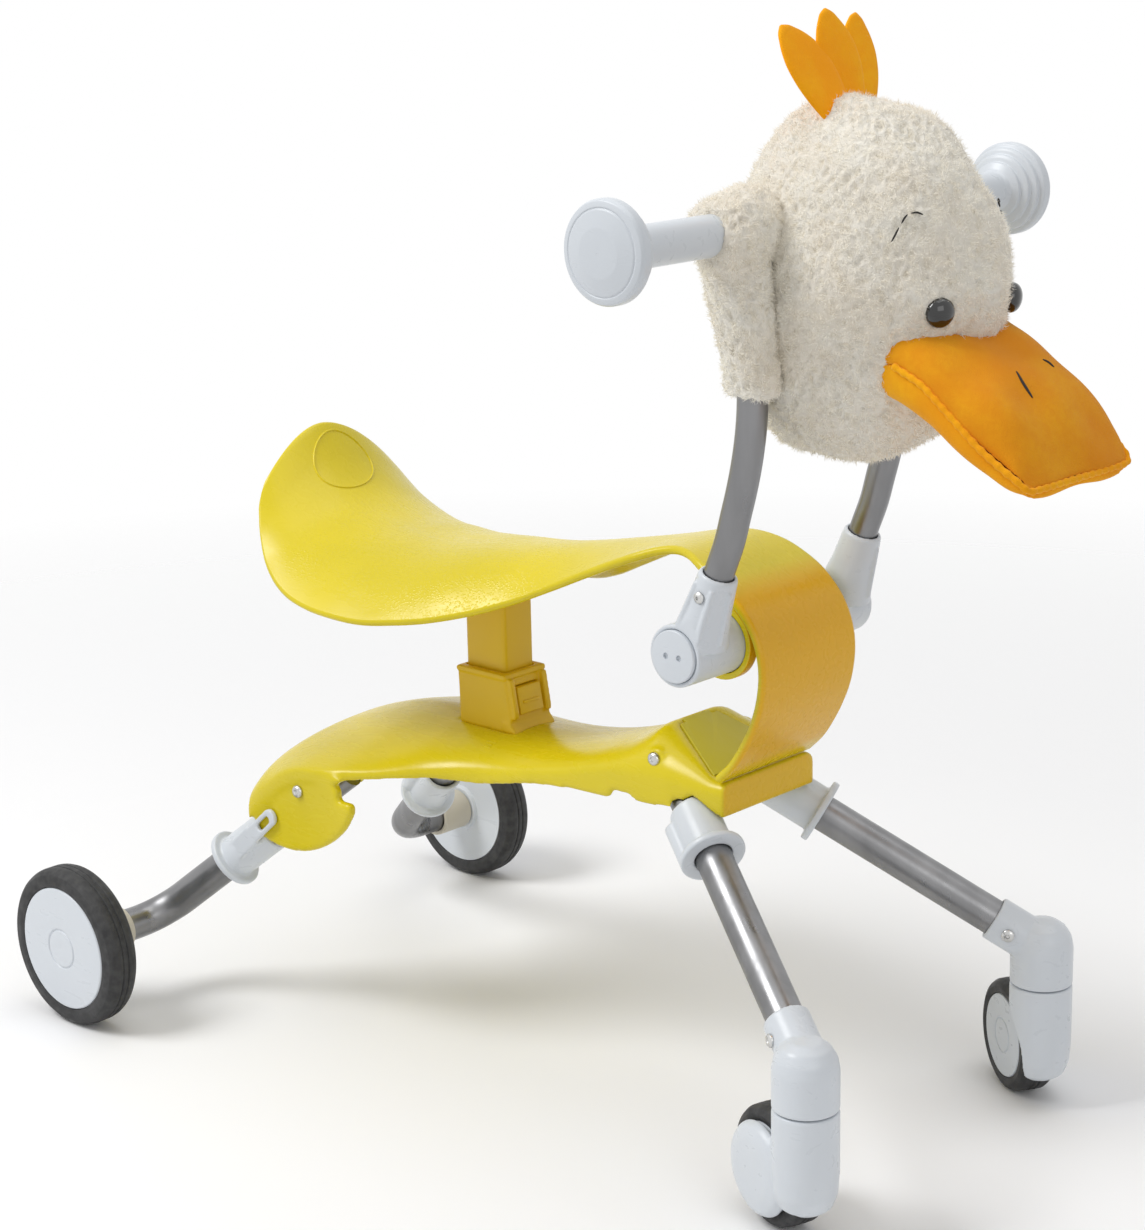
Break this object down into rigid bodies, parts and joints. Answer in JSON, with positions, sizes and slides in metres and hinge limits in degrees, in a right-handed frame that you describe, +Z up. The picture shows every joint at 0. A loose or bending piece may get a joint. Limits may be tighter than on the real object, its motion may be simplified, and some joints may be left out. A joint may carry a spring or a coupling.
{
  "type": "ride-on walker",
  "caption": "Child's ride-on walker: saddle seat on a post, moulded base with folding wheeled legs, and a folding handlebar with a stuffed bird head",
  "frame": {"origin": "On the floor, at the middle of the bounding box seen from above", "axes": "+Z up; the front, where the handlebar and the stuffed head are, points to -Y; the rider's right side is -X, and it is the side nearest the camera in the picture; the pair of casters stands swivelled unequally, as in the picture, so nothing is claimed symmetric"},
  "size_m": [0.367, 0.6515, 0.6102],
  "materials": {
    "yellow_plastic": "satin moulded polypropylene",
    "olive_panel": "matt",
    "amber_plastic": "satin",
    "white_plastic": "satin",
    "beige_plastic": "matt",
    "grey_tube": "satin grey",
    "bright_steel": "zinc plated",
    "tyre_rubber": "matt",
    "black_eye": "gloss",
    "white_plush": "short pile",
    "orange_felt": "felt",
    "tuft_felt": "felt"
  },
  "bodies": {
    "chassis": {"base": "yellow_plastic", "deck_panel": "olive_panel", "post_socket": "amber_plastic", "seat_post": "amber_plastic", "seat_shell": "yellow_plastic", "rear_pin_right": "bright_steel", "rear_pin_left": "bright_steel", "front_pin_right": "bright_steel", "front_pin_left": "bright_steel"},
    "latch": {"latch_button": "amber_plastic"},
    "handlebar": {"handle_axle": "grey_tube", "handle_frame": "grey_tube", "fork_knuckle_right": "white_plastic", "fork_knuckle_left": "white_plastic", "sleeve_screw_right": "bright_steel", "sleeve_screw_left": "bright_steel", "knuckle_cap_right": "white_plastic", "knuckle_cap_left": "white_plastic", "grip_right": "white_plastic", "grip_left": "white_plastic", "plush_head": "white_plush", "plush_sleeve_right": "white_plush", "plush_sleeve_left": "white_plush", "eye_right": "black_eye", "eye_left": "black_eye", "beak_upper": "orange_felt", "beak_lower": "orange_felt", "tuft_right": "tuft_felt", "tuft_middle": "tuft_felt", "tuft_left": "tuft_felt"},
    "rear_leg_r": {"rear_leg_right": "grey_tube", "axle_bush_right": "beige_plastic", "rear_axle_right": "bright_steel"},
    "rear_leg_l": {"rear_leg_left": "grey_tube", "axle_bush_left": "beige_plastic", "rear_axle_left": "bright_steel"},
    "rear_collar_r": {"rear_collar_right": "white_plastic"},
    "rear_collar_l": {"rear_collar_left": "white_plastic"},
    "rear_wheel_r": {"rear_tyre_right": "tyre_rubber", "rear_hub_right": "white_plastic"},
    "rear_wheel_l": {"rear_tyre_left": "tyre_rubber", "rear_hub_left": "white_plastic"},
    "front_leg_r": {"front_leg_right": "grey_tube", "elbow_right": "white_plastic", "elbow_bolt_right": "bright_steel"},
    "front_leg_l": {"front_leg_left": "grey_tube", "elbow_left": "white_plastic", "elbow_bolt_left": "bright_steel"},
    "front_collar_r": {"front_collar_right": "white_plastic"},
    "front_collar_l": {"front_collar_left": "white_plastic"},
    "caster_r": {"caster_hood_right": "white_plastic", "caster_stem_right": "bright_steel", "caster_axle_right": "bright_steel"},
    "caster_l": {"caster_hood_left": "white_plastic", "caster_stem_left": "bright_steel", "caster_axle_left": "bright_steel"},
    "caster_wheel_r": {"caster_tyre_right": "tyre_rubber", "caster_hub_right": "white_plastic"},
    "caster_wheel_l": {"caster_tyre_left": "tyre_rubber", "caster_hub_left": "white_plastic"}
  },
  "joints": [
    {"name": "latch_slide", "type": "slide", "parent": "chassis", "child": "latch", "axis": [0, 1, 0], "range_m": [0, 0.002], "stiffness_N_per_m": 600, "springref_m": -0.002},
    {"name": "handlebar_fold", "type": "hinge", "parent": "chassis", "child": "handlebar", "pos_m": [0, -0.1305, 0.284], "axis": [1, 0, 0], "range_deg": [0, 90]},
    {"name": "rear_leg_fold_right", "type": "hinge", "parent": "chassis", "child": "rear_leg_r", "pos_m": [-0.056, 0.156, 0.153], "axis": [-1, 0, 0], "range_deg": [0, 134]},
    {"name": "rear_leg_fold_left", "type": "hinge", "parent": "chassis", "child": "rear_leg_l", "pos_m": [0.056, 0.156, 0.153], "axis": [-1, 0, 0], "range_deg": [0, 134]},
    {"name": "front_leg_fold_right", "type": "hinge", "parent": "chassis", "child": "front_leg_r", "pos_m": [-0.022, -0.086, 0.2105], "axis": [1, 0, 0], "range_deg": [0, 70]},
    {"name": "front_leg_fold_left", "type": "hinge", "parent": "chassis", "child": "front_leg_l", "pos_m": [0.022, -0.086, 0.2105], "axis": [1, 0, 0], "range_deg": [0, 70]},
    {"name": "rear_collar_slide_right", "type": "slide", "parent": "rear_leg_r", "child": "rear_collar_r", "axis": [-0.29, 0.726, -0.6235], "range_m": [0, 0.012]},
    {"name": "rear_collar_slide_left", "type": "slide", "parent": "rear_leg_l", "child": "rear_collar_l", "axis": [0.29, 0.726, -0.6235], "range_m": [0, 0.012]},
    {"name": "front_collar_slide_right", "type": "slide", "parent": "front_leg_r", "child": "front_collar_r", "axis": [-0.406, -0.767, -0.4969], "range_m": [0, 0.012]},
    {"name": "front_collar_slide_left", "type": "slide", "parent": "front_leg_l", "child": "front_collar_l", "axis": [0.406, -0.767, -0.4969], "range_m": [0, 0.012]},
    {"name": "rear_wheel_spin_right", "type": "hinge", "parent": "rear_leg_r", "child": "rear_wheel_r", "pos_m": [-0.146, 0.276, 0.05], "axis": [1, 0, 0], "continuous": true},
    {"name": "rear_wheel_spin_left", "type": "hinge", "parent": "rear_leg_l", "child": "rear_wheel_l", "pos_m": [0.146, 0.276, 0.05], "axis": [1, 0, 0], "continuous": true},
    {"name": "caster_swivel_right", "type": "hinge", "parent": "front_leg_r", "child": "caster_r", "pos_m": [-0.1068, -0.2424, 0.074], "axis": [0, 0, 1], "continuous": true},
    {"name": "caster_swivel_left", "type": "hinge", "parent": "front_leg_l", "child": "caster_l", "pos_m": [0.1068, -0.2424, 0.074], "axis": [0, 0, 1], "continuous": true},
    {"name": "caster_wheel_spin_right", "type": "hinge", "parent": "caster_r", "child": "caster_wheel_r", "pos_m": [-0.09667, -0.21895, 0.0325], "axis": [0.9397, -0.342, 0], "continuous": true},
    {"name": "caster_wheel_spin_left", "type": "hinge", "parent": "caster_l", "child": "caster_wheel_l", "pos_m": [0.11962, -0.22031, 0.0325], "axis": [0.8339, -0.5519, 0], "continuous": true}
  ]
}
